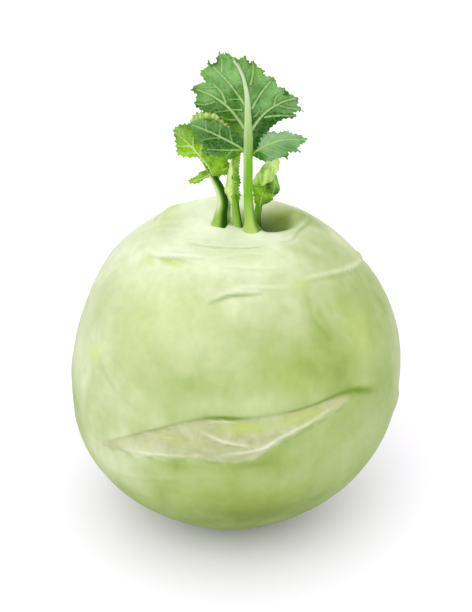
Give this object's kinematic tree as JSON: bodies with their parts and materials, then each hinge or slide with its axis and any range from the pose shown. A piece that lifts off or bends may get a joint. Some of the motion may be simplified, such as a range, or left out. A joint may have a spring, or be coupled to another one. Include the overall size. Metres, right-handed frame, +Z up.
{
  "type": "kohlrabi",
  "caption": "Round pale-green kohlrabi bulb on its flat root cut, with a short crown of young leaves left on top.",
  "frame": {"origin": "middle of the flat root cut that the bulb stands on", "axes": "+Z up through the leaf crown; the face of the tall front leaf looks towards -Y; +X to its right"},
  "size_m": [0.095, 0.093, 0.1453],
  "materials": {
    "bulb_skin": "waxy pale green skin with paler bloom at the crown, greener and smoother below, and dry cream leaf scars",
    "leaf_stalk": "smooth fresh green, pale where it joins the bulb",
    "leaf_blade": "blue-green leaf with raised pale veins and a thin bloom",
    "young_leaf": "bright yellow-green crinkled young leaf"
  },
  "bodies": {
    "root": {"bulb": "bulb_skin", "front_leaf_stalk": "leaf_stalk", "front_leaf_blade": "leaf_blade", "front_leaf_left_lobe": "leaf_blade", "front_leaf_right_lobe": "leaf_blade", "left_leaf_stalk": "leaf_stalk", "left_leaf_blade": "young_leaf", "left_leaf_outer_lobe": "young_leaf", "left_leaf_inner_lobe": "young_leaf", "middle_leaf_stalk": "leaf_stalk", "middle_leaf_blade": "young_leaf", "right_leaf_stalk": "leaf_stalk", "right_leaf_blade": "young_leaf", "right_leaf_pouch_lobe": "young_leaf", "right_leaf_lower_lobe": "young_leaf", "bud_stub": "young_leaf"}
  },
  "joints": []
}
